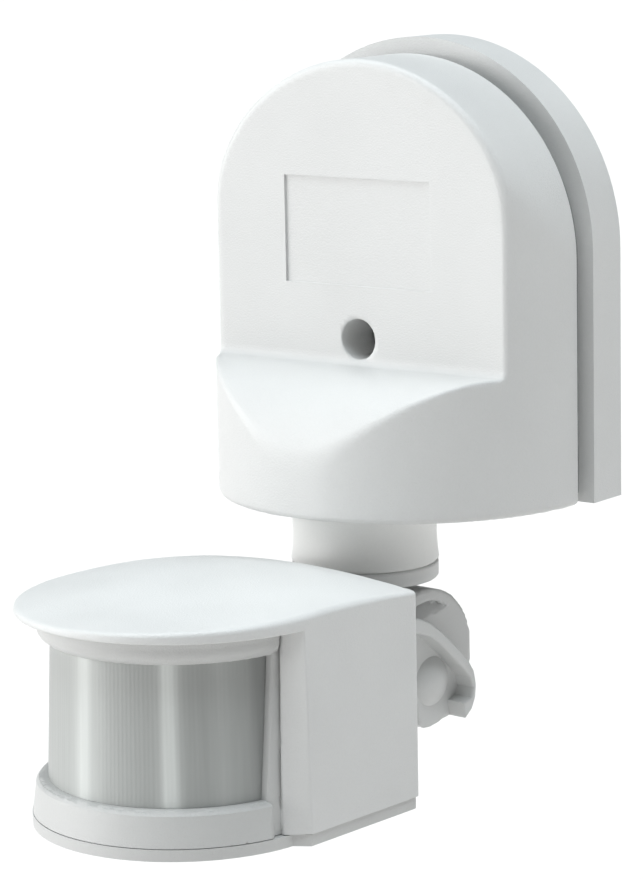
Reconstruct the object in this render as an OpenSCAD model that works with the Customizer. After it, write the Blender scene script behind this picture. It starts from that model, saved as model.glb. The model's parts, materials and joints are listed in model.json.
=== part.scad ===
// Outdoor motion sensor: an arch-topped wall box, a neck that pans, a hinge
// that tilts, and a D-shaped sensing head with a wraparound lens.
// Units are millimetres.  +Z is up, the sensor looks along -Y, the wall is the
// plane y = 0 and the origin is the middle of the wall face of the back plate.

/* [Wall box] */
// Width of the back plate
plate_w = 70; // [60:0.5:90]
// Height of the back plate
plate_h = 77.2; // [66:0.2:100]
// Depth of the back plate's outer edge
plate_d = 8.5; // [6:0.1:14]
// Outer radius of the cover, both in plan and over the arch
cover_r = 33.5; // [28:0.1:44]
// Open groove between back plate and cover
groove_w = 2.7; // [1.5:0.1:4]
// Distance from the wall to the cover's flat front
front_y = 27; // [22:0.1:36]
// Wall thickness of the mouldings
wall = 2.2; // [1.6:0.1:3]
// Radius of the round nose under the flat front
nose_r = 16.2; // [12:0.1:20]
// Width of the blank label recess
label_w = 30.2; // [20:0.1:40]
// Height of the blank label recess
label_h = 18.2; // [10:0.1:24]
// Radius of the cover screw hole
screw_hole_r = 3.45; // [2.5:0.05:5]

/* [Wall fixing] */
// Height between the two wall screws
fix_pitch = 60; // [50:1:70]
// Radius of the wall screw holes
fix_r = 2.3; // [1.8:0.1:3]
// Radius of the cable hole in the grommet
cable_r = 3.6; // [2.5:0.1:5]

/* [Neck] */
// Distance from the wall to the pan axis
pan_y = 26.1; // [22:0.1:34]
// Outer radius of the neck
neck_r = 12.5; // [10:0.1:16]
// Length of the neck below the box
neck_h = 9.8; // [6:0.1:20]
// Pan bearing radius inside the neck
pan_bore_r = 9; // [7:0.05:10]

/* [Hinge] */
// Depth of the tilt axis below the origin
hinge_z = 68.3; // [60:0.1:75]
// Distance from the wall to the tilt axis
hinge_y = 25.8; // [22:0.1:30]
// Radius of the hinge drum
drum_r = 11.8; // [9:0.1:14]
// Half length of the hinge drum
drum_half = 12.9; // [9:0.1:16]
// Radius of the pivot bore through the drum
pivot_bore_r = 2.5; // [1.5:0.05:4]

/* [Head] */
// Pan angle of the head at rest, in degrees
head_pan = -4; // [-60:0.5:60]
// Half width of the hood and side walls
head_r = 27.5; // [24:0.1:34]
// Outer radius of the lens at its upper edge; it widens by 1 mm downwards
lens_r = 21.2; // [18:0.1:26]
// Height of the lens
lens_h = 22.8; // [18:0.1:30]
// Outer radius of the band under the lens
band_r = 24.8; // [22:0.1:30]
// Distance from the wall to the head's rear face
head_back = 44.9; // [42:0.1:56]
// Distance from the wall to the lens centre
lens_y = 71.6; // [62:0.1:84]

/* [View] */
// Sub-part shown; "all" shows the assembly

/* [Hidden] */
$fn = 72;

arch_z  = plate_h/2 - plate_w/2;   // centre of the plate's arch
low_z   = -plate_h/2;              // bottom of box and plate
cover_z = arch_z - 1.15;           // centre of the cover's arch
cover_y = plate_d + groove_w;      // rear edge of the cover
plan_y  = cover_y + 0.8;           // centre of the cover's round plan
hole_z  = -11;                     // cover screw height
label_z = 7.1;                     // label recess height
nose_y  = front_y + 2.35;          // centre of the nose cylinder
nose_z  = low_z + 7.05;
fix_mid = -1.5;                    // middle of the two wall screws
cable_z = -21;                     // cable entry height
box_in  = cover_r - wall;

neck_lo = low_z - neck_h;          // lower face of the neck
ring_hi = neck_lo - 0.45;          // upper face of the turret ring
ring_lo = neck_lo - 3.35;
drum_y  = hinge_y - 0.5;           // drum centre
drum_z  = -hinge_z + 3.7;
cheek_i = drum_half + 0.5;         // inner and outer face of the hinge cheeks
cheek_o = cheek_i + 4.4;

hood_y   = 70.6;                   // centre of the hood's round front
top_z    = -44.25;                 // highest point of the hood
crown_r  = 175;                    // radius of its crowned top
roof_z   = -50.9;                  // ceiling of the hollow head
rim_z    = -48.4;                  // underside of the overhang
seam_z   = -81.4;                  // joint between walls and base cover
foot_z   = -83.3;                  // underside of the base cover
lens_hi  = -52.8;
lens_lo  = lens_hi - lens_h;
board_z  = -77.4;                  // underside of the power board
knob_x   = 9.5;
knob_y   = 59;

c_shell = [0.93, 0.94, 0.95];
c_knuck = [0.88, 0.88, 0.87];
c_lens  = [0.80, 0.81, 0.80];
c_dark  = [0.16, 0.17, 0.18];
c_steel = [0.72, 0.73, 0.75];
c_brass = [0.80, 0.66, 0.36];
c_board = [0.13, 0.36, 0.20];

// ---------- helpers ----------

// 2D drawn in X/Z and pushed from the wall towards the front, y0 to y1
module forward(y0, y1) {
    translate([0, -y0, 0]) rotate([90, 0, 0]) linear_extrude(y1 - y0) children();
}
// 2D drawn in Y/Z and pushed along X, x0 to x1
module across(x0, x1) {
    translate([x0, 0, 0]) rotate([90, 0, 90]) linear_extrude(x1 - x0) children();
}
// revolved about an axis parallel to Y; 2D is (radius, distance from the wall)
module turn_y() {
    rotate([90, 0, 0]) rotate_extrude() children();
}
// rod parallel to Y
module rod_y(r, y0, y1) {
    translate([0, -y0, 0]) rotate([90, 0, 0]) cylinder(r = r, h = y1 - y0);
}
// rod parallel to X
module rod_x(r, x0, x1) {
    translate([x0, 0, 0]) rotate([0, 90, 0]) cylinder(r = r, h = x1 - x0);
}
module block(x0, x1, y0, y1, z0, z1) {
    translate([x0, y0, z0]) cube([x1 - x0, y1 - y0, z1 - z0]);
}
// the head's own frame: y and z as in the assembly, turned about the pan axis
module on_head() {
    translate([0, -pan_y, 0]) rotate([0, 0, head_pan]) translate([0, pan_y, 0]) children();
}
module arch(r, cz, zb) {
    translate([0, cz]) circle(r = r, $fn = 128);
    translate([-r, zb]) square([2*r, cz - zb]);
}

// ---------- wall box ----------

module back_plate() {
    spig_r = box_in - 0.5;
    color(c_shell) difference() {
        union() {
            forward(0, 2.4) arch(plate_w/2, arch_z, low_z);
            forward(0, plate_d) difference() {
                arch(plate_w/2, arch_z, low_z);
                arch(spig_r - 1.8, cover_z, low_z + 3.9);
            }
            forward(0, cover_y + 1.5) difference() {
                arch(spig_r, cover_z, low_z + wall + 0.4);
                arch(spig_r - 1.8, cover_z, low_z + wall + 2.2);
            }
            translate([0, 0, hole_z]) rod_y(4, 0, cover_y + 1.8);
            for (s = [-1, 1]) translate([s*10, 0, 6]) rod_y(2.2, 0, 4.2);
            translate([0, 0, cable_z]) rod_y(7.2, 0, 3.6);
            for (z = [fix_mid - fix_pitch/2, fix_mid + fix_pitch/2])
                translate([0, 0, z]) rod_y(fix_r + 1.8, 0, 3.6);
        }
        translate([0, 0, hole_z]) rod_y(1.3, 3, 20);
        translate([0, 0, cable_z]) rod_y(5.4, -1, 5);
        for (z = [fix_mid - fix_pitch/2, fix_mid + fix_pitch/2])
            translate([0, 0, z]) rod_y(fix_r, -1, 20);
        // drain notch and rear relief for the cable
        block(-3, 3, -1.5, 0.5, low_z - 1, low_z + 8);
    }
}

module cover_gasket() {
    spig_r = box_in - 0.5;
    color([0.55, 0.56, 0.57]) forward(plate_d, cover_y) difference() {
        arch(spig_r + 1.1, cover_z, low_z + 1.5);
        arch(spig_r, cover_z, low_z + wall + 0.4);
    }
}

module cable_grommet() {
    color(c_dark) translate([0, 0, cable_z]) difference() {
        union() {
            rod_y(5.3, 0.2, 4.6);
            rod_y(5.9, 3.62, 4.8);
        }
        rod_y(cable_r, -1, 6);
    }
}

module terminal_block() {
    color([0.90, 0.90, 0.88]) difference() {
        union() {
            block(-13, 13, -15.5, -4.2, -1.5, 13.5);
            for (x = [-8.6, 0, 8.6]) translate([x, 0, 6]) block(-3.4, 3.4, -16.8, -15, -6, 6);
        }
        for (x = [-8.6, 0, 8.6]) {
            for (z = [2.6, 9.4]) translate([x, 0, z]) rod_y(1.9, 12.4, 18);
            translate([x, -9.6, -3]) cylinder(r = 1.6, h = 18);
        }
        for (s = [-1, 1]) translate([s*10, 0, 6]) rod_y(1.1, 4, 8);
    }
}

module terminal_screws() {
    color(c_brass) for (x = [-8.6, 0, 8.6]) for (z = [2.6, 9.4])
        translate([x, 0, z]) difference() {
            rod_y(1.75, 12.5, 14.6, $fn = 24);
            block(-2, 2, -15, -14, -0.3, 0.3);
        }
}

// side profile of the cover: flat front above, round nose below
module cover_side(t) {
    translate([-front_y + t, low_z + t]) square([front_y - cover_y + 2, 90]);
    translate([-nose_y, low_z + t]) square([nose_y - front_y + 1 + t, nose_z + nose_r - low_z - 2*t]);
    translate([-nose_y, nose_z]) circle(r = nose_r - t, $fn = 128);
    translate([-nose_y - nose_r - 1, low_z + t]) square([nose_r + 2, nose_z - low_z - t]);
}

module cover_block(t) {
    r = cover_r - t;
    intersection() {
        union() {
            translate([0, 0, cover_z]) turn_y() difference() {
                square([r, front_y - t + 0.001]);
                if (t == 0) translate([r - 1.3, front_y - 1.3]) difference() {
                    square([2, 2]);
                    circle(r = 1.3, $fn = 32);
                }
            }
            block(-r, r, -60, -cover_y + 4, low_z - 1, cover_z);
        }
        // round plan with a softened lower edge
        translate([0, -plan_y, 0]) union() {
            rotate_extrude($fn = 128) difference() {
                translate([0, low_z + t]) square([r, 90]);
                if (t == 0) translate([r - 1, low_z + 1]) rotate([0, 0, -90]) difference() {
                    square([2, 2]);
                    circle(r = 1, $fn = 32);
                }
            }
            block(-r, r, 0, 12, low_z + t, low_z + 90);
        }
        difference() {
            across(-40, 40) cover_side(t);
            if (t == 0) translate([0, -cover_y, 0]) block(-50, 50, 0, 30, -60, 60);
        }
    }
}

module front_cover() {
    color(c_shell) difference() {
        union() {
            difference() {
                cover_block(0);
                cover_block(wall);
            }
            // small inside corner where the flat front meets the nose
            intersection() {
                across(-40, 40) translate([-front_y - 1.2, nose_z + nose_r]) difference() {
                    translate([0, -0.2]) square([1.4, 1.4]);
                    translate([0, 1.2]) circle(r = 1.2, $fn = 32);
                }
                translate([0, -plan_y, 0]) cylinder(r = cover_r, h = 60, center = true, $fn = 128);
            }
            translate([0, 0, hole_z]) rod_y(5.2, cover_y + 1.9, front_y - 1);
        }
        translate([0, 0, hole_z]) {
            rod_y(screw_hole_r, cover_y + 5.2, front_y + 2);
            rod_y(1.7, cover_y, front_y);
        }
        // blank label recess
        block(-label_w/2, label_w/2, -front_y - 1, -front_y + 0.4,
              label_z - label_h/2, label_z + label_h/2);
        // neck opening
        translate([0, -pan_y, low_z - 1]) cylinder(r = neck_r - 1.1, h = wall + 2);
    }
}

module cover_screw() {
    color(c_steel) translate([0, 0, hole_z]) difference() {
        union() {
            rod_y(1.28, 4, cover_y + 5.4, $fn = 32);
            rod_y(3.1, cover_y + 5.2, cover_y + 7.4, $fn = 48);
        }
        for (a = [0, 90]) rotate([0, a, 0])
            block(-2, 2, -cover_y - 8, -cover_y - 6.3, -0.45, 0.45);
    }
}

// ---------- neck and turret ----------

module neck_collar() {
    color(c_knuck) translate([0, -pan_y, 0]) difference() {
        union() {
            translate([0, 0, 0]) rotate_extrude($fn = 96) difference() {
                translate([0, neck_lo]) square([neck_r + 0.1, neck_h]);
                translate([neck_r - 0.25 + 34, neck_lo + neck_h/2]) circle(r = 34, $fn = 360);
            }
            translate([0, 0, low_z - 0.01]) cylinder(r = neck_r - 1.3, h = 6.3);
        }
        translate([0, 0, neck_lo - 1]) cylinder(r = pan_bore_r, h = 30);
        translate([0, 0, neck_lo + 8.4]) cylinder(r = pan_bore_r + 0.9, h = 30);
    }
}

module neck_nut() {
    color(c_knuck) translate([0, -pan_y, low_z + wall]) difference() {
        cylinder(r = neck_r + 0.7, h = 3.4);
        translate([0, 0, -1]) cylinder(r = neck_r - 1.3, h = 6);
        for (a = [0:45:315]) rotate([0, 0, a]) translate([neck_r + 1.3, 0, -1])
            cylinder(r = 1.1, h = 6, $fn = 24);
    }
}

module swivel_turret() {
    color(c_knuck) on_head() translate([0, -pan_y, 0]) difference() {
        union() {
            rotate_extrude($fn = 96) {
                difference() {
                    translate([0, ring_lo]) square([neck_r, ring_hi - ring_lo]);
                    translate([neck_r - 0.6, ring_lo + 0.6]) rotate([0, 0, -90]) difference() {
                        square([2, 2]);
                        circle(r = 0.6, $fn = 32);
                    }
                }
                translate([0, ring_lo]) square([pan_bore_r - 0.06, neck_lo + 10.4 - ring_lo]);
            }
            translate([0, 0, drum_z]) cylinder(r = 7.6, h = ring_lo - drum_z + 0.5);
            translate([0, pan_y - drum_y, drum_z]) rod_x(drum_r, -drum_half, drum_half, $fn = 96);
        }
        // clip groove and wire way
        translate([0, 0, neck_lo + 8.65]) difference() {
            cylinder(r = 12, h = 1);
            translate([0, 0, -1]) cylinder(r = pan_bore_r - 1.1, h = 3);
        }
        translate([0, 0, ring_lo - 2]) cylinder(r = 5.4, h = 30);
        // slot under the upper rim of each end
        for (s = [-1, 1]) translate([s*drum_half, pan_y - drum_y, drum_z]) intersection() {
            rod_x(9.8, -1.6, 1.6);
            translate([0, 0, 7.2]) rotate([8, 0, 0]) block(-3, 3, -12, 12, 0, 6);
        }
        translate([0, pan_y - hinge_y, -hinge_z]) rod_x(pivot_bore_r, -20, 20, $fn = 48);
    }
}

module pan_clip() {
    color(c_steel) on_head() translate([0, -pan_y, neck_lo + 8.75]) difference() {
        cylinder(r = pan_bore_r + 0.55, h = 0.8);
        translate([0, 0, -1]) cylinder(r = pan_bore_r - 1.05, h = 3);
        block(0, 15, -1.6, 1.6, -1, 2);
    }
}

module pan_washer() {
    color([0.30, 0.31, 0.32]) on_head() translate([0, -pan_y, ring_hi]) difference() {
        cylinder(r = neck_r - 0.3, h = 0.38);
        translate([0, 0, -1]) cylinder(r = pan_bore_r + 0.1, h = 3);
    }
}

// ---------- tilt hinge ----------

module tilt_washers() {
    color(c_steel) on_head() translate([0, -hinge_y, -hinge_z]) for (s = [-1, 1]) difference() {
        rod_x(5, s*(drum_half + 0.29) - 0.2, s*(drum_half + 0.29) + 0.2, $fn = 48);
        rod_x(2.7, -20, 20, $fn = 32);
    }
}

// outline of one hinge cheek, in Y/Z
module cheek() {
    polygon([[-head_back, -54.6], [-38, -54.9], [-32.8, -55.7], [-30.5, -56.6], [-26.8, -59.2],
             [-23.4, -62.2], [-20.4, -65.0], [-18.7, -67.4], [-18.1, -69.9], [-18.4, -72.2],
             [-19.3, -73.9], [-20.9, -75.1], [-26.1, -76.2], [-27.9, -76.1], [-29.1, -75.2],
             [-29.8, -71.5], [-head_back, -70.5]]);
}

// its recess, open below, behind a rim that follows the upper and rear edge
module cheek_recess() {
    polygon([[-head_back + 3, -57.3], [-37, -57.6], [-32.9, -58.2], [-30.2, -59.2], [-27.9, -60.7],
             [-25.2, -63.0], [-22.3, -65.8], [-20.4, -68.4], [-19.6, -70.4], [-20.2, -71.9],
             [-21.6, -72.5], [-21.2, -74.4], [-21.6, -80], [-head_back + 3, -80]]);
}

module hinge_bracket() {
    color(c_shell) on_head() difference() {
        union() {
            for (s = [-1, 1])
                across(min(s*cheek_i, s*cheek_o), max(s*cheek_i, s*cheek_o)) cheek();
            block(-cheek_o, cheek_o, -head_back, -head_back + 2.4, -70.5, -54.6);
            block(-cheek_i - 0.5, cheek_i + 0.5, -head_back, -40.7, -70.5, -68.3);
            block(-cheek_i - 0.5, cheek_i + 0.5, -head_back, -40.7, -56.8, -54.6);
        }
        // recessed outer faces
        for (s = [-1, 1])
            across(min(s*(cheek_i + 0.8), s*(cheek_o + 1)), max(s*(cheek_i + 0.8), s*(cheek_o + 1)))
                cheek_recess();
        translate([0, -hinge_y, -hinge_z]) rod_x(2.6, -30, 30, $fn = 48);
        // wire opening and screw holes in the root
        translate([0, 0, -62.5]) rod_y(4.5, 40, 50);
        for (s = [-1, 1]) translate([s*8.5, 0, -63]) rod_y(1.2, 40, 50, $fn = 24);
    }
}

module bracket_screws() {
    color(c_steel) on_head() for (s = [-1, 1]) translate([s*8.5, 0, -63]) difference() {
        union() {
            rod_y(1.15, head_back - 1.9, head_back + 3, $fn = 24);
            rod_y(2.4, head_back + wall, head_back + wall + 1.6, $fn = 32);
        }
        for (a = [0, 90]) rotate([0, a, 0])
            block(-1.5, 1.5, -head_back - 5, -head_back - wall - 0.9, -0.3, 0.3);
    }
}

module pivot_bolt() {
    color(c_shell) on_head() translate([0, -hinge_y, -hinge_z]) {
        rod_x(pivot_bore_r - 0.05, -cheek_i - 3.4, cheek_i + 1, $fn = 48);
        translate([cheek_i + 0.85, 0, 0]) rotate([0, 90, 0]) rotate_extrude($fn = 64) {
            square([4.2, 0.8]);
            intersection() {
                translate([0, -6.2]) circle(r = 8.2, $fn = 128);
                translate([0, 0.8]) square([4.2, 4]);
            }
        }
    }
}

module pivot_nut() {
    color(c_steel) on_head() translate([-cheek_i - 0.85, -hinge_y, -hinge_z]) difference() {
        rotate([0, -90, 0]) cylinder(r = 4.4, h = 2.2, $fn = 6);
        rod_x(pivot_bore_r - 0.05, -10, 10, $fn = 48);
    }
}

// ---------- head mouldings ----------

module rear_plan(half, yb, r) {
    difference() {
        translate([-half, -hood_y - 0.5]) square([2*half, hood_y + 0.5 - yb]);
        for (s = [-1, 1]) translate([s*(half - r), -yb - r]) difference() {
            translate([s > 0 ? 0 : -r - 1, 0]) square([r + 1, r + 1]);
            circle(r = r, $fn = 32);
        }
    }
}

// slanting shoulder between a side wall and the lens drum
module shoulder() {
    zb = seam_z + 0.12;
    polyhedron([[16, -70.2, zb], [head_r, -70.2, zb], [head_r, -71.9, zb], [22.4, -75.4, zb], [16, -75.4, zb],
                [16, -70.2, rim_z + 0.2], [head_r, -70.2, rim_z + 0.2], [head_r, -72.8, rim_z + 0.2],
                [21.8, -73.2, rim_z + 0.2], [16, -73.2, rim_z + 0.2]],
               [[4, 3, 2, 1, 0], [5, 6, 7, 8, 9], [0, 1, 6, 5], [1, 2, 7, 6], [2, 3, 7], [3, 8, 7],
                [3, 4, 9, 8], [4, 0, 5, 9]]);
}

// space taken by the lens frame inside the shoulders
module drum_space(t) {
    translate([0, -lens_y, 0]) rotate_extrude($fn = 128)
        polygon([[0, rim_z + 1], [lens_r + 1 + t, rim_z + 1], [lens_r + 2.5 + t, seam_z - 1], [0, seam_z - 1]]);
}

module head_hood() {
    color(c_shell) on_head() difference() {
        intersection() {
            union() {
                // overhang
                translate([0, -hood_y, rim_z]) rotate([0, 0, 180]) rotate_extrude(angle = 180, $fn = 128)
                    square([head_r, 20]);
                block(-head_r, head_r, -hood_y, -head_back - 4, rim_z, rim_z + 20);
                // side and rear walls
                translate([0, 0, seam_z + 0.12]) linear_extrude(50) intersection() {
                    rear_plan(head_r, head_back, 1.6);
                    translate([-50, -70.3]) square([100, 50]);
                }
                difference() {
                    union() {
                        shoulder();
                        mirror([1, 0, 0]) shoulder();
                    }
                    drum_space(0.05);
                }
            }
            // crowned top
            translate([3.9, -67.6, 0]) rotate_extrude($fn = 180) intersection() {
                translate([0, top_z - crown_r]) circle(r = crown_r, $fn = 720);
                translate([0, -120]) square([60, 80]);
            }
        }
        // hollow
        translate([0, 0, seam_z - 1]) linear_extrude(roof_z - seam_z + 1) intersection() {
            rear_plan(head_r - wall, head_back + wall, 1.2);
            translate([-50, -68.2]) square([100, 50]);
        }
        block(-18, 18, -74, -68, seam_z - 1, roof_z);
        // wire opening and bracket screws
        translate([0, 0, -62.5]) rod_y(4.5, 40, 50);
        for (s = [-1, 1]) translate([s*8.5, 0, -63]) rod_y(1.3, 40, 50, $fn = 24);
    }
}

// half-space in front of a plane that leans forwards going down
module ahead_of(y_top, lean) {
    across(-40, 40) polygon([[-y_top + 4*lean, lens_hi + 4], [-y_top - 35*lean, lens_hi - 35],
                             [-130, lens_hi - 35], [-130, lens_hi + 4]]);
}

module lens_bezel() {
    color(c_shell) on_head() difference() {
        translate([0, -lens_y, 0]) rotate_extrude($fn = 128) difference() {
            union() {
                polygon([[0, rim_z], [lens_r + 1, rim_z], [lens_r + 2.5, seam_z + 0.12], [0, seam_z + 0.12]]);
                translate([0, lens_hi + 2.1]) square([lens_r + 2.1, rim_z - lens_hi - 2.1]);
                translate([lens_r, lens_hi + 2.1]) circle(r = 2.1, $fn = 48);
                polygon([[0, seam_z + 0.12], [band_r, seam_z + 0.12], [band_r - 0.7, lens_lo - 0.7],
                         [band_r - 1.1, lens_lo - 0.2], [lens_r + 1.1, lens_lo], [0, lens_lo]]);
            }
            translate([0, seam_z - 1]) square([lens_r - 1.2, 60]);
            translate([0, rim_z]) square([60, 10]);
        }
        // window for the lens
        intersection() {
            ahead_of(74.5, 0.111);
            block(-40, 40, -120, -40, lens_lo + 0.02, lens_hi);
        }
        // bands wider than the drum stop at the shoulders
        difference() {
            block(-40, 40, -90, -40, seam_z - 1, rim_z + 1);
            ahead_of(74.05, 0.109);
            drum_space(0);
        }
        // open back
        block(-18, 18, -lens_y, -30, -120, 0);
        block(-40, 40, -70.3, -30, -120, 0);
    }
}

module fresnel_lens() {
    color(c_lens) on_head() intersection() {
        translate([0, -lens_y, 0]) rotate_extrude($fn = 144)
            polygon([[lens_r, lens_hi - 0.02], [lens_r - 0.8, lens_hi - 0.02],
                     [lens_r + 0.2, lens_lo + 0.04], [lens_r + 1, lens_lo + 0.04]]);
        ahead_of(74.58, 0.111);
    }
}

module base_plan() {
    translate([0, -lens_y]) circle(r = band_r + 0.1, $fn = 128);
    difference() {
        polygon([[-head_r + 0.3, -head_back - 0.3], [-head_r + 0.3, -71.9], [-22.4, -75.4],
                 [22.4, -75.4], [head_r - 0.3, -71.9], [head_r - 0.3, -head_back - 0.3]]);
        for (s = [-1, 1]) translate([s*(head_r - 1.9), -head_back - 1.9]) difference() {
            translate([s > 0 ? 0 : -5, 0]) square([5, 5]);
            circle(r = 1.6, $fn = 32);
        }
    }
}

module base_cover() {
    color(c_shell) on_head() difference() {
        union() {
            translate([0, 0, foot_z]) linear_extrude(seam_z - foot_z) base_plan();
            // locating lip inside the walls
            translate([0, 0, seam_z - 0.1]) linear_extrude(2.1) difference() {
                rear_plan(head_r - wall - 0.2, head_back + wall + 0.2, 1);
                translate([-60, -80]) square([120, 16.5]);
                rear_plan(head_r - wall - 1.8, head_back + wall + 1.8, 1);
            }
            for (s = [-1, 1]) translate([s*20.5, -54, seam_z - 0.1]) cylinder(r = 3.4, h = board_z - seam_z + 0.1);
            translate([0, -87, seam_z - 0.1]) cylinder(r = 3, h = 6);
        }
        for (s = [-1, 1]) translate([s*knob_x, -knob_y, foot_z - 1]) {
            cylinder(r = 3.1, h = 10);
        }
        for (s = [-1, 1]) translate([s*20.5, -54, foot_z - 1]) {
            cylinder(r = 1.3, h = 20, $fn = 24);
            cylinder(r = 2.7, h = 2.2, $fn = 32);
        }
        translate([0, -87, foot_z - 1]) {
            cylinder(r = 1.3, h = 20, $fn = 24);
            cylinder(r = 2.7, h = 2.2, $fn = 32);
        }
    }
}

module base_screws() {
    color(c_steel) on_head() for (p = [[-20.5, -54], [20.5, -54], [0, -87]])
        translate([p[0], p[1], foot_z + 0.3]) difference() {
            union() {
                cylinder(r = 2.4, h = 0.9, $fn = 32);
                cylinder(r = 1.25, h = 5.6, $fn = 24);
            }
            for (a = [0, 90]) rotate([0, 0, a]) block(-1.5, 1.5, -0.3, 0.3, -1, 0.5);
        }
}

// ---------- inside the head ----------

module power_board() {
    color(c_board) on_head() difference() {
        block(-24.5, 24.5, -68, -48.2, board_z, board_z + 1.6);
        for (s = [-1, 1]) translate([s*20.5, -54, board_z - 1]) cylinder(r = 1.4, h = 4, $fn = 24);
    }
}

module sensor_board() {
    color(c_board) on_head() block(-15, 15, -67.8, -66.2, board_z + 1.6, -53);
}

module pyro_spacer() {
    color([0.92, 0.92, 0.90]) on_head() translate([0, 0, -64]) difference() {
        rod_y(5.6, 67.8, 70.2, $fn = 48);
        rod_y(1.2, 66, 72, $fn = 24);
    }
}

module pyro_sensor() {
    color(c_steel) on_head() translate([0, 0, -64]) difference() {
        union() {
            rod_y(4.6, 70.2, 70.9, $fn = 48);
            rod_y(4.1, 70.9, 74.4, $fn = 48);
            for (a = [90, 210, 330]) rotate([0, a, 0]) translate([0.9, 0, 0]) rod_y(0.22, 67.82, 70.4, $fn = 16);
        }
        block(-2, 2, -75, -74.1, -1.6, 1.6);
    }
}

module light_cell() {
    color([0.72, 0.42, 0.28]) on_head() translate([10.5, 0, -58]) {
        rod_y(2.5, 69.4, 71.4, $fn = 40);
        for (s = [-1, 1]) translate([s*1.3, 0, 0]) rod_y(0.25, 67.82, 69.5, $fn = 16);
    }
}

module signal_led() {
    color([0.80, 0.16, 0.14]) on_head() translate([-10.5, 0, -58]) {
        rod_y(1.9, 69.2, 70.2, $fn = 32);
        rod_y(1.5, 70.2, 72.6, $fn = 32);
        translate([0, -72.6, 0]) sphere(r = 1.5, $fn = 32);
        for (s = [-1, 1]) translate([s*0.9, 0, 0]) rod_y(0.22, 67.82, 69.4, $fn = 16);
    }
}

module relay() {
    color([0.20, 0.36, 0.60]) on_head() block(-21, -4.5, -65.4, -49.8, board_z + 1.6, board_z + 16.6);
}

module film_capacitor() {
    color([0.78, 0.68, 0.30]) on_head() block(-2.5, 5, -65.2, -49.8, board_z + 1.6, board_z + 13.6);
}

module filter_capacitors() {
    color([0.14, 0.15, 0.17]) on_head() for (p = [[10.5, -60.5], [18.5, -61.5]])
        translate([p[0], p[1], board_z + 1.6]) {
            cylinder(r = 3.6, h = 11, $fn = 40);
        }
}

module board_parts() {
    color([0.10, 0.10, 0.11]) on_head() {
        block(8, 18, -55.6, -51.8, board_z + 1.6, board_z + 4.6);
        block(-6, 6, -70.2, -67.8, -74.6, -71.2);
        for (x = [-12, -9, 9, 12]) block(x - 0.8, x + 0.8, -68.6, -67.8, -66, -62.8);
    }
}

module trimmers() {
    color([0.20, 0.36, 0.60]) on_head() for (s = [-1, 1])
        translate([s*knob_x, -knob_y, 0]) block(-3.3, 3.3, -3.3, 3.3, -79, board_z);
}

module knob() {
    difference() {
        union() {
            translate([0, 0, foot_z - 0.4]) cylinder(r = 2.5, h = -79.15 - foot_z + 0.4, $fn = 48);
            translate([0, 0, foot_z - 2.9]) cylinder(r = 5.2, h = 2.5, $fn = 64);
        }
        for (a = [0:30:330]) rotate([0, 0, a]) translate([5.7, 0, foot_z - 4]) cylinder(r = 0.8, h = 6, $fn = 16);
        block(-3.6, 3.6, -0.5, 0.5, foot_z - 4, foot_z - 2.1);
    }
}

module time_knob() {
    color([0.85, 0.85, 0.83]) on_head() translate([-knob_x, -knob_y, 0]) rotate([0, 0, 30]) knob();
}

module lux_knob() {
    color([0.85, 0.85, 0.83]) on_head() translate([knob_x, -knob_y, 0]) rotate([0, 0, -40]) knob();
}

// ---------- assembly ----------

back_plate();
cover_gasket();
cable_grommet();
terminal_block();
terminal_screws();
front_cover();
cover_screw();
neck_collar();
neck_nut();
swivel_turret();
pan_clip();
pan_washer();
tilt_washers();
hinge_bracket();
bracket_screws();
pivot_bolt();
pivot_nut();
head_hood();
lens_bezel();
fresnel_lens();
base_cover();
base_screws();
power_board();
sensor_board();
pyro_sensor();
pyro_spacer();
light_cell();
signal_led();
relay();
film_capacitor();
filter_capacitors();
board_parts();
trimmers();
time_knob();
lux_knob();
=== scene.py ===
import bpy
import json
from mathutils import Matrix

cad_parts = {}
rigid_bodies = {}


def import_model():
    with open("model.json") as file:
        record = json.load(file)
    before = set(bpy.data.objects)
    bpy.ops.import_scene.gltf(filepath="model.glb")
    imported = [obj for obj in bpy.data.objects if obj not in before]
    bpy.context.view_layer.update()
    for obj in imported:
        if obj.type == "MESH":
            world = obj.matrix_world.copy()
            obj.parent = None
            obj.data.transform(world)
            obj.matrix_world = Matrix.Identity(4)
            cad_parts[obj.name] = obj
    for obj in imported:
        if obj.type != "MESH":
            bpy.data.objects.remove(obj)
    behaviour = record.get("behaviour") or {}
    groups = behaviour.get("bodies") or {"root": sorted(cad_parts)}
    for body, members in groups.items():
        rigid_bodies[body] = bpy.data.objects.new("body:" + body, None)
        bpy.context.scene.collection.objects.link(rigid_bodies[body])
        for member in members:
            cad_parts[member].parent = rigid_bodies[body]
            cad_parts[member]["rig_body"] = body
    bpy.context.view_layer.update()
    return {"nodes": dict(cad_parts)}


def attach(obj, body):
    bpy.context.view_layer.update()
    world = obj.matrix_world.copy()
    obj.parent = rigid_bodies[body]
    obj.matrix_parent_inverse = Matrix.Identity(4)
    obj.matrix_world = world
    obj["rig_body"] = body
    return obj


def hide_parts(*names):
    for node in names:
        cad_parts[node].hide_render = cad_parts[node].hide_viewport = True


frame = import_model()

import json
import math

import bpy
import numpy as np
from mathutils import Matrix, Vector

MM = 0.001
scene = bpy.context.scene


# ---------------------------------------------------------------- camera
def look_axes(az, el, roll):
    a, e, r = map(math.radians, (az, el, roll))
    back = Vector((math.sin(a) * math.cos(e), -math.cos(a) * math.cos(e), math.sin(e)))
    fwd = -back
    right = fwd.cross(Vector((0, 0, 1))).normalized()
    up = right.cross(fwd)
    return (
        right * math.cos(r) + up * math.sin(r),
        -right * math.sin(r) + up * math.cos(r),
        back,
    )


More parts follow.
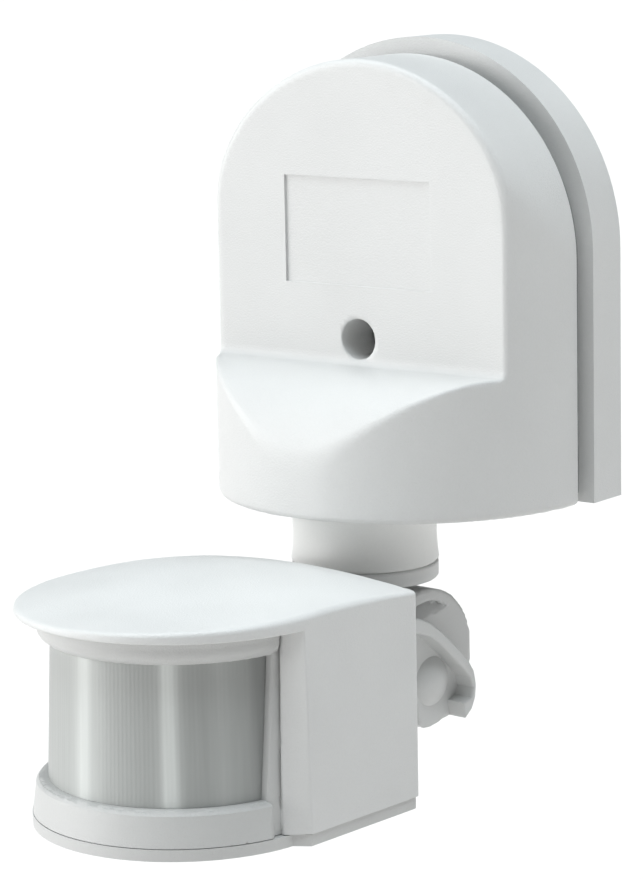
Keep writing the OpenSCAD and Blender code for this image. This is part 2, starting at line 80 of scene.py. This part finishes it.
cam_data = bpy.data.cameras.new("camera")
cam = bpy.data.objects.new("camera", cam_data)
scene.collection.objects.link(cam)
r, u, b = look_axes(37.406, 10.333, -1.151)
place = Vector((322.319, -459.224, 70.319)) * MM
cam.matrix_world = Matrix(
    (
        (r.x, u.x, b.x, place.x),
        (r.y, u.y, b.y, place.y),
        (r.z, u.z, b.z, place.z),
        (0, 0, 0, 1),
    )
)
cam_data.sensor_fit = "AUTO"
cam_data.sensor_width = 36.0
cam_data.lens = 3238.315 * 36.0 / 879.0
cam_data.clip_start = 0.01
cam_data.clip_end = 50.0
scene.camera = cam


# ---------------------------------------------------------------- light
scene.view_settings.view_transform = "Standard"
world = bpy.data.worlds.new("studio")
scene.world = world
world.use_nodes = True
world.node_tree.nodes["Background"].inputs["Color"].default_value = (0.97, 0.99, 1.0, 1)
world.node_tree.nodes["Background"].inputs["Strength"].default_value = 0.10


def soft_light(name, direction, spread, power, colour=(1, 1, 1)):
    """A wide, even light from one side; direction points from the object to the light."""
    data = bpy.data.lights.new(name, "SUN")
    data.angle = math.radians(spread)
    data.energy = power
    data.color = colour
    lamp = bpy.data.objects.new(name, data)
    lamp.rotation_euler = Vector(direction).normalized().to_track_quat("Z", "Y").to_euler()
    lamp.location = Vector(direction).normalized() * 1.5
    scene.collection.objects.link(lamp)
    return lamp


LIGHTS = [
    ("top", (0.05, -0.08, 1.0), 60, 3.3, (0.905, 0.968, 1.0)),
    ("back", (0.45, 0.50, 0.75), 50, 0.55, (0.95, 0.98, 1.0)),
    ("left", (-0.83, -0.54, 0.20), 45, 2.45, (1.0, 1.0, 1.0)),
    ("low", (-0.50, -0.84, 0.04), 14, 0.60, (1.0, 1.0, 1.0)),
]
for spec in LIGHTS:
    soft_light(*spec)


# ---------------------------------------------------------------- materials
def material(name, colour, roughness=0.45, specular=0.5, **sockets):
    m = bpy.data.materials.new(name)
    m.use_nodes = True
    tree = m.node_tree
    p = tree.nodes["Principled BSDF"]
    p.inputs["Base Color"].default_value = (*colour, 1)
    p.inputs["Roughness"].default_value = roughness
    p.inputs["Specular IOR Level"].default_value = specular
    for k, v in sockets.items():
        p.inputs[k.replace("_", " ")].default_value = v
    return m, tree, p


def plastic(name, colour, roughness, grain_mm=0.35, grain=0.10, drift=0.02, specular=0.45):
    """Moulded plastic with a fine spark-eroded grain, faint flow tone and patchy gloss."""
    m, t, p = material(name, colour, roughness, specular)
    n, l = t.nodes, t.links
    where = n.new("ShaderNodeTexCoord")
    fine = n.new("ShaderNodeTexNoise")
    fine.inputs["Scale"].default_value = 1000.0 / grain_mm
    fine.inputs["Detail"].default_value = 3.0
    fine.inputs["Roughness"].default_value = 0.6
    l.new(where.outputs["Object"], fine.inputs["Vector"])
    broad = n.new("ShaderNodeTexNoise")
    broad.inputs["Scale"].default_value = 45.0
    broad.inputs["Detail"].default_value = 2.0
    l.new(where.outputs["Object"], broad.inputs["Vector"])
    tone = n.new("ShaderNodeMapRange")
    tone.inputs["From Min"].default_value = 0.3
    tone.inputs["From Max"].default_value = 0.7
    tone.inputs["To Min"].default_value = 1.0 - drift
    tone.inputs["To Max"].default_value = 1.0 + drift
    l.new(broad.outputs["Fac"], tone.inputs["Value"])
    speck = n.new("ShaderNodeMapRange")
    speck.inputs["From Min"].default_value = 0.25
    speck.inputs["From Max"].default_value = 0.75
    speck.inputs["To Min"].default_value = 0.985
    speck.inputs["To Max"].default_value = 1.015
    l.new(fine.outputs["Fac"], speck.inputs["Value"])
    both = n.new("ShaderNodeMath")
    both.operation = "MULTIPLY"
    l.new(tone.outputs["Result"], both.inputs[0])
    l.new(speck.outputs["Result"], both.inputs[1])
    tint = n.new("ShaderNodeVectorMath")
    tint.operation = "SCALE"
    tint.inputs[0].default_value = colour
    l.new(both.outputs[0], tint.inputs["Scale"])
    l.new(tint.outputs[0], p.inputs["Base Color"])
    gloss = n.new("ShaderNodeMapRange")
    gloss.inputs["From Min"].default_value = 0.3
    gloss.inputs["From Max"].default_value = 0.7
    gloss.inputs["To Min"].default_value = roughness - 0.05
    gloss.inputs["To Max"].default_value = roughness + 0.05
    l.new(broad.outputs["Fac"], gloss.inputs["Value"])
    l.new(gloss.outputs["Result"], p.inputs["Roughness"])
    bump = n.new("ShaderNodeBump")
    bump.inputs["Strength"].default_value = grain
    bump.inputs["Distance"].default_value = grain_mm * MM * 0.35
    l.new(fine.outputs["Fac"], bump.inputs["Height"])
    l.new(bump.outputs["Normal"], p.inputs["Normal"])
    return m


WHITE = plastic("white_shell", (0.652, 0.655, 0.647), 0.42, 0.30, 0.75, 0.025)
WARM = plastic("warm_white_shell", (0.60, 0.607, 0.60), 0.40)
# darker copy of the white shell: painted shade for the lens frame bands and base cover, which are the same white
# plastic
BAND_PAINTED_SHADE = plastic("band_white_painted_shade", (0.548, 0.551, 0.542), 0.42, 0.30, 0.60, 0.03)
# lighter copy of the warm white: painted light for the neck collar and pan washer
NECK_PAINTED_LIGHT = plastic("neck_white_painted_light", (0.78, 0.785, 0.77), 0.42)
IVORY = plastic("ivory_trim", (0.78, 0.77, 0.72), 0.45)
def lens_film(name, stops):
    """Milky sheet with its tone painted by azimuth: the bright upright bands are painted reflections and the
    darkening towards both ends is painted shade.
    """
    m, t, p = material(name, (0.5, 0.5, 0.48), 0.34, 0.4)
    n, l = t.nodes, t.links
    where = n.new("ShaderNodeTexCoord")
    part = n.new("ShaderNodeSeparateXYZ")
    l.new(where.outputs["Object"], part.inputs[0])

    def op(kind, a, b=None):
        q = n.new("ShaderNodeMath")
        q.operation = kind
        for k, v in enumerate((a, b)):
            if v is None:
                continue
            if isinstance(v, (int, float)):
                q.inputs[k].default_value = v
            else:
                l.new(v, q.inputs[k])
        return q.outputs[0]

    sx = op("ADD", part.outputs["X"], 0.003174)
    sy = op("MULTIPLY", op("ADD", part.outputs["Y"], 0.071489), -1.0)
    angle = op("ADD", op("ARCTAN2", sx, sy), math.radians(4.0))
    share = op("ADD", op("MULTIPLY", angle, 1.0 / math.radians(180.0)), 0.5)
    ramp = n.new("ShaderNodeValToRGB")
    l.new(share, ramp.inputs["Fac"])
    cr = ramp.color_ramp
    cr.elements[0].position = 0.0
    while len(cr.elements) > 1:
        cr.elements.remove(cr.elements[-1])
    for k, (deg, v) in enumerate(stops):
        e = cr.elements[0] if k == 0 else cr.elements.new(deg / 180.0 + 0.5)
        e.position = deg / 180.0 + 0.5
        e.color = (v * 0.965, v * 0.995, v * 0.965, 1)
    fine = n.new("ShaderNodeTexNoise")
    fine.noise_dimensions = "2D"
    fine.inputs["Scale"].default_value = 1.0
    fine.inputs["Detail"].default_value = 3.0
    spread = n.new("ShaderNodeCombineXYZ")
    l.new(op("MULTIPLY", angle, 22.0), spread.inputs["X"])
    l.new(op("MULTIPLY", part.outputs["Z"], 55.0), spread.inputs["Y"])
    l.new(spread.outputs[0], fine.inputs["Vector"])
    streak = n.new("ShaderNodeMapRange")
    streak.inputs["From Min"].default_value = 0.25
    streak.inputs["From Max"].default_value = 0.75
    streak.inputs["To Min"].default_value = 0.97
    streak.inputs["To Max"].default_value = 1.03
    l.new(fine.outputs["Fac"], streak.inputs["Value"])
    tint = n.new("ShaderNodeVectorMath")
    tint.operation = "SCALE"
    l.new(ramp.outputs["Color"], tint.inputs[0])
    l.new(streak.outputs["Result"], tint.inputs["Scale"])
    l.new(tint.outputs[0], p.inputs["Base Color"])
    return m


# stops are azimuth in degrees and tone: peaks near -4..-1 and 35.5..39 are painted reflections, the low ends near
# -80 and 76 are painted shade
LENS_PAINTED_REFLECTION_AND_SHADE = lens_film("lens_sheet", [
    (-80, 0.24), (-60, 0.29), (-45, 0.34), (-30, 0.39), (-12, 0.45), (-7.5, 0.52), (-4.0, 0.66), (-1.0, 0.65),
    (2.5, 0.52), (10.3, 0.42), (21.6, 0.39), (30.4, 0.39), (33.5, 0.46), (35.5, 0.66), (39.0, 0.66), (42.5, 0.43),
    (45, 0.37), (52.7, 0.36), (59.7, 0.42), (72.0, 0.33), (76, 0.25),
])
DARK = plastic("black_trim", (0.03, 0.03, 0.035), 0.5)
FOAM = plastic("foam", (0.25, 0.26, 0.26), 0.9)
BOARD = plastic("board_mask", (0.03, 0.16, 0.06), 0.35)
BLUE = plastic("blue_case", (0.03, 0.10, 0.30), 0.4)
YELLOW = plastic("yellow_case", (0.55, 0.40, 0.06), 0.4)
RED = plastic("red_lens", (0.60, 0.03, 0.02), 0.25)
CELL = plastic("cell_face", (0.45, 0.16, 0.08), 0.4)


def plated(name, colour, roughness):
    """Plated metal with rolled streaks and a cloudy passivated tone."""
    m, t, p = material(name, colour, roughness, Metallic=1.0)
    n, l = t.nodes, t.links
    where = n.new("ShaderNodeTexCoord")
    stretch = n.new("ShaderNodeMapping")
    stretch.inputs["Scale"].default_value = (1.0, 9.0, 9.0)
    l.new(where.outputs["Object"], stretch.inputs["Vector"])
    streaks = n.new("ShaderNodeTexNoise")
    streaks.inputs["Scale"].default_value = 320.0
    streaks.inputs["Detail"].default_value = 4.0
    l.new(stretch.outputs["Vector"], streaks.inputs["Vector"])
    cloud = n.new("ShaderNodeTexNoise")
    cloud.inputs["Scale"].default_value = 260.0
    cloud.inputs["Detail"].default_value = 2.0
    l.new(where.outputs["Object"], cloud.inputs["Vector"])
    tone = n.new("ShaderNodeMapRange")
    tone.inputs["From Min"].default_value = 0.3
    tone.inputs["From Max"].default_value = 0.7
    tone.inputs["To Min"].default_value = 0.82
    tone.inputs["To Max"].default_value = 1.08
    l.new(cloud.outputs["Fac"], tone.inputs["Value"])
    tint = n.new("ShaderNodeVectorMath")
    tint.operation = "SCALE"
    tint.inputs[0].default_value = colour
    l.new(tone.outputs["Result"], tint.inputs["Scale"])
    l.new(tint.outputs[0], p.inputs["Base Color"])
    gloss = n.new("ShaderNodeMapRange")
    gloss.inputs["From Min"].default_value = 0.3
    gloss.inputs["From Max"].default_value = 0.7
    gloss.inputs["To Min"].default_value = roughness - 0.09
    gloss.inputs["To Max"].default_value = roughness + 0.13
    l.new(streaks.outputs["Fac"], gloss.inputs["Value"])
    l.new(gloss.outputs["Result"], p.inputs["Roughness"])
    bump = n.new("ShaderNodeBump")
    bump.inputs["Strength"].default_value = 0.25
    bump.inputs["Distance"].default_value = 0.00004
    l.new(streaks.outputs["Fac"], bump.inputs["Height"])
    l.new(bump.outputs["Normal"], p.inputs["Normal"])
    return m


ZINC = plated("zinc_plate", (0.62, 0.63, 0.64), 0.32)
BRASS = plated("brass_plate", (0.72, 0.52, 0.20), 0.30)

BY_NAME = {
    "white_plastic": WHITE, "warm_white_plastic": WARM, "ivory_plastic": IVORY,
    "lens_film": LENS_PAINTED_REFLECTION_AND_SHADE, "grey_foam": FOAM, "black_rubber": DARK, "black_plastic": DARK,
    "brass": BRASS, "zinc_steel": ZINC, "circuit_board": BOARD, "blue_plastic": BLUE,
    "yellow_plastic": YELLOW, "red_plastic": RED, "light_cell_face": CELL,
}
for name, o in frame["nodes"].items():
    for s in o.material_slots:
        # base cover takes the darker white copy: painted shade
        if name == "base_cover":
            s.material = BAND_PAINTED_SHADE
            continue
        # neck collar and pan washer take the lighter copy: painted light
        s.material = NECK_PAINTED_LIGHT if name in ("pan_washer", "neck_collar") else BY_NAME.get(s.material.name.split(".")[0], WHITE)


# ---------------------------------------------------------------- rounded surfaces
def round_max(a, b, r):
    return np.minimum(np.maximum(a, b), -r) + np.hypot(np.maximum(a + r, 0), np.maximum(b + r, 0))


def round_min(a, b, r):
    return -round_max(-a, -b, r)


def outline(points, u, v):
    """Signed distance to a closed polygon, negative inside."""
    pts = np.array(points, float)
    best = np.full(u.shape, 1e9)
    inside = np.zeros(u.shape, bool)
    for (au, av), (bu, bv) in zip(pts, np.roll(pts, -1, 0)):
        eu, ev = bu - au, bv - av
        t = np.clip(((u - au) * eu + (v - av) * ev) / (eu * eu + ev * ev), 0, 1)
        best = np.minimum(best, np.hypot(u - au - t * eu, v - av - t * ev))
        if abs(ev) > 1e-9:
            crosses = ((av > v) != (bv > v)) & (u < eu * (v - av) / ev + au)
            inside ^= crosses
    return np.where(inside, -best, best)


def contour(f, lo, hi, step):
    """Quads and corner normals on the zero surface of f, by dual contouring on a regular grid."""
    axes = [np.arange(l, h + step, step) for l, h in zip(lo, hi)]
    X, Y, Z = np.meshgrid(*axes, indexing="ij")
    v = f(X, Y, Z)
    solid = v < 0
    cells = tuple(n - 1 for n in v.shape)
    total = cells[0] * cells[1] * cells[2]
    count = np.zeros(total)
    mass = np.zeros((total, 3))
    ata = np.zeros((total, 3, 3))
    atb = np.zeros((total, 3))
    origin = np.array([a[0] for a in axes])

    def gradient(p, e):
        g = np.empty_like(p)
        for k in range(3):
            d = np.zeros(3)
            d[k] = e
            q, w = p + d, p - d
            g[:, k] = f(q[:, 0], q[:, 1], q[:, 2]) - f(w[:, 0], w[:, 1], w[:, 2])
        n = np.linalg.norm(g, axis=1, keepdims=True)
        return g / np.where(n < 1e-12, 1, n)

    quads = []
    for a in range(3):
        b, c = (a + 1) % 3, (a + 2) % 3
        first = [slice(None)] * 3
        second = [slice(None)] * 3
        first[a], second[a] = slice(0, -1), slice(1, None)
        crossing = np.argwhere(solid[tuple(first)] != solid[tuple(second)])
        ok = np.ones(len(crossing), bool)
        for k in (b, c):
            ok &= (crossing[:, k] > 0) & (crossing[:, k] < v.shape[k] - 1)
        crossing = crossing[ok]
        if not len(crossing):
            continue
        p0 = origin + crossing * step
        p1 = p0.copy()
        p1[:, a] += step
        f0 = v[tuple(crossing.T)]
        nxt = crossing.copy()
        nxt[:, a] += 1
        f1 = v[tuple(nxt.T)]
        lo_t, hi_t = np.zeros(len(f0)), np.ones(len(f0))
        for _ in range(9):
            mid = (lo_t + hi_t) / 2
            q = p0 + (p1 - p0) * mid[:, None]
            fm_ = f(q[:, 0], q[:, 1], q[:, 2])
            same = (fm_ < 0) == (f0 < 0)
            lo_t = np.where(same, mid, lo_t)
            hi_t = np.where(same, hi_t, mid)
        p = p0 + (p1 - p0) * ((lo_t + hi_t) / 2)[:, None]
        n = gradient(p, step * 0.04)
        ids = []
        for db, dc in ((-1, -1), (0, -1), (0, 0), (-1, 0)):
            cell = crossing.copy()
            cell[:, b] += db
            cell[:, c] += dc
            flat = (cell[:, 0] * cells[1] + cell[:, 1]) * cells[2] + cell[:, 2]
            ids.append(flat)
            np.add.at(count, flat, 1)
            np.add.at(mass, flat, p)
            np.add.at(ata, flat, n[:, :, None] * n[:, None, :])
            np.add.at(atb, flat, n * (n * p).sum(1)[:, None])
        ids = np.stack(ids, 1)
        flip = ~(f0 < 0)
        ids[flip] = ids[flip][:, ::-1]
        quads.append(ids)
    quads = np.concatenate(quads)
    used = np.unique(quads)
    centre = mass[used] / count[used][:, None]
    m = ata[used] + 0.03 * np.eye(3)
    rhs = atb[used] - np.einsum("nij,nj->ni", ata[used], centre)
    x = centre + np.linalg.solve(m, rhs[:, :, None])[:, :, 0]
    ix = np.stack(np.unravel_index(used, cells), 1)
    low = origin + ix * step
    x = np.clip(x, low, low + step)
    look = np.full(total, -1)
    look[used] = np.arange(len(used))
    quads = look[quads]
    mid = x[quads].mean(1)
    corner = x[quads] + 0.16 * (mid[:, None, :] - x[quads])
    normals = gradient(corner.reshape(-1, 3), step * 0.06)
    return x, quads, normals


PSI = math.radians(-4.0)
PAN_Y = 26.1


def on_head(x):
    y = np.asarray(x, float).copy()
    a, b = x[:, 0], x[:, 1] + PAN_Y
    y[:, 0] = a * math.cos(PSI) - b * math.sin(PSI)
    y[:, 1] = a * math.sin(PSI) + b * math.cos(PSI) - PAN_Y
    return y


def turned(n):
    m = n.copy()
    m[:, 0] = n[:, 0] * math.cos(PSI) - n[:, 1] * math.sin(PSI)
    m[:, 1] = n[:, 0] * math.sin(PSI) + n[:, 1] * math.cos(PSI)
    return m


def piece(name, verts, faces, mat, node, head=False, normals=None):
    if head:
        verts = on_head(np.asarray(verts, float))
        if normals is not None:
            normals = turned(normals)
    me = bpy.data.meshes.new(name)
    me.from_pydata((np.asarray(verts) * MM).tolist(), [], np.asarray(faces).tolist() if not isinstance(faces, list) else faces)
    me.materials.append(mat)
    me.polygons.foreach_set("use_smooth", np.ones(len(me.polygons), bool))
    if normals is None:
        me.set_sharp_from_angle(angle=math.radians(32))
    else:
        me.normals_split_custom_set(normals.tolist())
    ob = bpy.data.objects.new(name, me)
    scene.collection.objects.link(ob)
    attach(ob, frame["nodes"][node]["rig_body"])
    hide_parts(node)
    return ob


def moulded(name, f, lo, hi, step, mat, slot, node, head=False):
    verts, quads, normals = contour(f, lo, hi, step)
    return piece(name, verts, quads, mat, node, head, normals)


# wall box cover
def cover_form(x, y, z):
    ax = np.abs(x)

    def sides(t, soft):
        dz = np.maximum(z - 2.45, 0)
        dy = np.maximum(-12.0 - y, 0)
        m = np.maximum(dz, dy)
        if soft:
            k = 0.45 * m + 1e-6
            m = m + np.maximum(k - np.abs(dz - dy), 0) ** 2 / (4 * k)
        return np.where(m > 0, np.hypot(x, m), ax) - (33.5 - t)

    def face(t):
        front = -y - (27.0 - t)
        q0, q1 = -29.35 - y, z + 31.55
        nose = np.where((q0 > 0) & (q1 > 0), np.hypot(q0, q1), np.maximum(q0, q1)) - (16.2 - t)
        return front, nose

    front, nose = face(0)
    edge = 0.6 + 0.7 * np.clip((z - 6.0) / 14.0, 0, 1)
    out = round_max(sides(0, True), round_min(front, nose, 1.2), edge)
    out = round_max(out, -38.6 - z, 1.0)
    out = np.maximum(out, y + 11.2)
    front, nose = face(2.2)
    inner = np.maximum(np.maximum(sides(2.2, False), np.minimum(front, nose)), -36.4 - z)
    f = np.maximum(out, -inner)
    rr = np.hypot(x, z + 11.0)
    f = np.minimum(f, np.maximum(rr - 5.2, np.maximum(y + 13.1, -26.0 - y)))
    f = round_max(f, -np.maximum(rr - 3.45, y + 16.4), 0.3)
    f = np.maximum(f, -np.maximum(rr - 1.7, np.maximum(y + 11.0, -y - 27.5)))
    label = np.maximum(np.maximum(ax - 15.1, np.abs(z - 7.1) - 9.1), y + 26.6)
    f = np.maximum(f, -label)
    return np.maximum(f, -np.maximum(np.hypot(x, y + 26.1) - 11.4, z + 36.3))


HOOD = dict(half=27.5, cy=-70.6, back=-44.9, top=-44.45, crown=175.0, rim=-48.4, seam=-81.28)
LEAN_HI = -52.8


def crown(x, y, z):
    return np.sqrt((x - 3.9) ** 2 + (y + 67.6) ** 2 + (z - HOOD["top"] + HOOD["crown"]) ** 2) - HOOD["crown"]


def hood_form(x, y, z):
    ax = np.abs(x)
    plan = np.where(y < HOOD["cy"], np.hypot(x, y - HOOD["cy"]), ax) - HOOD["half"]
    body = round_max(plan, y - HOOD["back"], 1.6)
    top = crown(x, y, z)
    body = round_max(body, top, np.clip(0.42 * (z - top - HOOD["rim"]), 0.15, 1.0))
    down = (HOOD["rim"] + 0.2 - z) / 32.9
    far, near, inset = -72.8 + 0.9 * down, -73.5 - 3.1 * down, 21.8 + 0.6 * down
    lean = far + np.clip((HOOD["half"] - ax) / (HOOD["half"] - inset), -1, 1) * (near - far)
    drum = np.hypot(x, y + 71.6) - (21.9 + (HOOD["rim"] + 1 - z) * 0.0429)
    lean = lean + 1.0 * np.clip(1.0 - (drum - 0.35) / 0.9, 0, 1) ** 2
    walls = np.maximum(lean - y, np.where(y < -70.3, -drum, -50.0))
    f = round_max(body, np.minimum(HOOD["rim"] - z, walls), 0.25)
    f = np.maximum(f, HOOD["seam"] - z)
    f = np.maximum(f, -np.maximum(np.maximum(ax - 18.0, y + 66.0), np.maximum(z + 50.9, -90.0 - y)))
    hollow = np.maximum(np.maximum(ax - 25.3, -68.2 - y), np.maximum(y + 47.1, z + 50.9))
    f = np.maximum(f, -hollow)
    hole = np.maximum(np.hypot(x, z + 62.5) - 4.5, -50.0 - y)
    f = np.maximum(f, -hole)
    return np.maximum(f, -np.maximum(np.hypot(ax - 8.5, z + 63.0) - 1.3, -50.0 - y))


def ahead(y, z, y_top, lean):
    return y + y_top + lean * (LEAN_HI - z)


def bezel_form(x, y, z):
    ax = np.abs(x)
    rr = np.hypot(x, y + 71.6)
    rim, seam, lo = HOOD["rim"], HOOD["seam"], -75.6
    cone = rr - (22.2 + (rim - z) * 1.5 / (rim - seam))
    upper = np.minimum(
        np.maximum(rr - 23.3, -50.7 - z),
        np.where(rr > 21.25, np.hypot(rr - 21.25, z + 50.7) - 2.1, LEAN_HI - z),
    )
    lower = outline([(0, seam - 0.1), (24.8, seam - 0.1), (24.1, lo - 0.7), (23.7, lo - 0.2), (22.2, lo), (0, lo)], rr, z)
    bands = round_max(np.minimum(upper, lower), ahead(y, z, 74.05, 0.109), 0.25)
    f = np.minimum(cone, bands)
    f = np.maximum(f, np.maximum(z - rim + 0.02, seam - z))
    f = np.maximum(f, 20.0 - rr)
    arc = np.where(rr > 21.25, 2.1 - np.hypot(rr - 21.25, np.minimum(z + 50.7, 0)), z - LEAN_HI)
    window = np.maximum(ahead(y, z, 74.5, 0.111), np.maximum(arc, lo + 0.02 - z))
    f = round_max(f, -window, 0.28)
    f = np.maximum(f, y + 70.3)
    return np.maximum(f, -np.maximum(ax - 18.0, -71.6 - y))


CHEEK = [(-44.9, -54.6), (-38, -54.9), (-32.8, -55.7), (-30.5, -56.6), (-26.8, -59.2),
         (-23.4, -62.2), (-20.4, -65.0), (-18.7, -67.4), (-18.1, -69.9), (-18.4, -72.2),
         (-19.3, -73.9), (-20.9, -75.1), (-26.1, -76.2), (-27.9, -76.1), (-29.1, -75.2),
         (-29.8, -71.5), (-44.9, -70.5)]
CHEEK_IN = [(-41.9, -57.3), (-37, -57.6), (-32.9, -58.2), (-30.2, -59.2), (-27.9, -60.7),
            (-25.2, -63.0), (-22.2, -65.7), (-19.8, -68.3), (-18.9, -70.3), (-19.4, -72.0),
            (-21.6, -72.5), (-21.2, -74.4), (-21.6, -80), (-41.9, -80)]


def bracket_form(x, y, z):
    ax = np.abs(x)
    f = round_max(outline(CHEEK, y, z), np.abs(ax - 15.4) - 2.2, 0.35)
    f = round_max(f, -np.maximum(outline(CHEEK_IN, y, z), 14.0 - ax), 0.3)
    root = np.maximum(np.maximum(ax - 17.6, np.abs(y + 43.7) - 1.2), np.abs(z + 62.55) - 7.95)
    low = np.maximum(np.maximum(ax - 13.7, np.abs(y + 42.8) - 2.1), np.abs(z + 69.4) - 1.1)
    high = np.maximum(np.maximum(ax - 13.7, np.abs(y + 42.8) - 2.1), np.abs(z + 55.7) - 1.1)
    f = np.minimum(np.minimum(f, root), np.minimum(low, high))
    f = np.maximum(f, -(np.hypot(y + 25.8, z + 68.3) - 2.6))
    f = np.maximum(f, -np.maximum(np.hypot(x, z + 62.5) - 4.5, -y - 60))
    return np.maximum(f, y * 0 + (-44.9 - y))


STEM_R = 8.94


def turret_form(x, y, z):
    ax = np.abs(x)
    rr = np.hypot(x, y + PAN_Y)
    ring = round_max(rr - 12.5, np.abs(z + 50.3) - 1.45, 0.5)
    boss = np.maximum(rr - 7.6, np.abs(z + 58.0) - 7.0)
    f = round_min(ring, boss, 0.8)
    stem = np.maximum(rr - STEM_R, np.maximum(z + 38.0, -51.0 - z))
    f = np.minimum(f, stem)
    dr = np.hypot(y + 25.3, z + 64.6)
    f = round_min(f, round_max(dr - 11.8, ax - 12.7, 0.5), 0.6)
    c, s_ = math.cos(math.radians(8)), math.sin(math.radians(8))
    v = (z + 64.6 - 7.2) * c - (y + 25.3) * s_
    slotted = np.maximum(dr - 9.8, 12.7 - 0.8 * np.maximum(v, 0) - ax)
    f = round_max(f, -np.maximum(slotted, -v), 0.2)
    f = np.maximum(f, -(np.maximum(rr - 5.4, -53.75 - z)))
    clip = np.maximum(np.abs(z + 39.25) - 0.5, (STEM_R - 1.04) - rr)
    f = np.maximum(f, -clip)
    return np.maximum(f, -(np.hypot(y + 25.8, z + 68.3) - 2.5))


MOULDED = [
    ("cover_shell", cover_form, (-34.35, -46.3, -39.45), (34.4, -10.3, 36.8), 0.75, WHITE, "white_plastic", "front_cover", False),
    ("hood_shell", hood_form, (-28.35, -98.9, -81.9), (28.4, -44.0, -43.4), 0.6, WHITE, "white_plastic", "head_hood", True),
    # lens frame takes the darker white copy: painted shade
    ("lens_frame", bezel_form, (-25.3, -97.2, -82.0), (25.4, -69.2, -47.6), 0.55, BAND_PAINTED_SHADE, "white_plastic", "lens_bezel", True),
    ("swivel_knuckle", turret_form, (-13.4, -39.2, -77.1), (13.5, -12.9, -37.2), 0.58, WARM, "warm_white_plastic", "swivel_turret", True),
    ("hinge_cheeks", bracket_form, (-18.2, -45.7, -77.1), (18.3, -17.3, -53.8), 0.55, WARM, "warm_white_plastic", "hinge_bracket", True),
]
for spec in MOULDED:
    moulded(*spec)


def lens_mesh():
    """Leaning sheet of fine upright ribs, cut by the frame's plane at both ends."""
    rows, cols = 10, 480
    zs = np.linspace(-52.84, -75.54, rows)
    u = np.linspace(-1, 1, cols)
    out, back = [], []
    for z in zs:
        r = 21.2 + (LEAN_HI - z) * 1.0 / 22.8
        end = math.acos((74.6 + 0.111 * (LEAN_HI - z) - 71.6) / r)
        th = u * end
        edge = np.clip((1 - np.abs(u)) * 60, 0, 1)
        rib = 0.010 * np.cos(th * 180 / math.pi * 2 * math.pi / 1.9) * edge
        for store, rad in ((out, r - 0.04 + rib), (back, r - 0.8 + 0 * rib)):
            store.append(np.stack([rad * np.sin(th), -71.6 - rad * np.cos(th), np.full(cols, z)], 1))
    out, back = np.concatenate(out), np.concatenate(back)
    verts = np.concatenate([out, back])
    n = rows * cols
    faces = []
    for i in range(rows - 1):
        for j in range(cols - 1):
            a, b, c, d = i * cols + j, i * cols + j + 1, (i + 1) * cols + j + 1, (i + 1) * cols + j
            faces.append((a, d, c, b))
            faces.append((n + a, n + b, n + c, n + d))
    for j in range(cols - 1):
        a, b = j, j + 1
        faces.append((a, b, n + b, n + a))
        a, b = (rows - 1) * cols + j, (rows - 1) * cols + j + 1
        faces.append((b, a, n + a, n + b))
    for i in range(rows - 1):
        a, d = i * cols, (i + 1) * cols
        faces.append((d, a, n + a, n + d))
        a, d = i * cols + cols - 1, (i + 1) * cols + cols - 1
        faces.append((a, d, n + d, n + a))
    return verts, faces


def turned_x(profile, cy, cz, steps=72):
    """Solid of revolution about an X line; profile is (radius, x) from one end to the other."""
    verts, faces = [], []
    for r, px in profile:
        for k in range(steps):
            a = 2 * math.pi * k / steps
            verts.append((px, cy + r * math.cos(a), cz + r * math.sin(a)))
    rows = len(profile)
    for i in range(rows - 1):
        for k in range(steps):
            q = (k + 1) % steps
            faces.append((i * steps + k, (i + 1) * steps + k, (i + 1) * steps + q, i * steps + q))
    faces.append(tuple(range(steps)))
    faces.append(tuple((rows - 1) * steps + k for k in reversed(range(steps))))
    return verts, faces


dome = [(4.25 * math.cos(t), 13.98 + 1.9 * math.sin(t) ** 1.7) for t in np.linspace(0, math.pi / 2 * 0.985, 16)]
pin_v, pin_f = turned_x([(2.15, -16.6), (2.45, -16.3), (2.45, 13.9), (4.3, 13.95)] + dome, -25.8, -68.3)
pin = piece("pivot_pin", pin_v, pin_f, WARM, "pivot_bolt", True)

lens_v, lens_f = lens_mesh()
# lens sheet carries the painted reflections and painted shade of its material
piece("lens_sheet", lens_v, lens_f, LENS_PAINTED_REFLECTION_AND_SHADE, "fresnel_lens", True)


# ---------------------------------------------------------------- floor
FLOOR_Z = -0.138
mesh = bpy.data.meshes.new("floor")
mesh.from_pydata([(-8, -8, FLOOR_Z), (8, -8, FLOOR_Z), (8, 8, FLOOR_Z), (-8, 8, FLOOR_Z)], [], [(0, 1, 2, 3)])
floor = bpy.data.objects.new("floor", mesh)
scene.collection.objects.link(floor)
fm, ft, fp = material("floor_card", (0.79, 0.755, 0.735), 0.9, 0.0)
mesh.materials.append(fm)
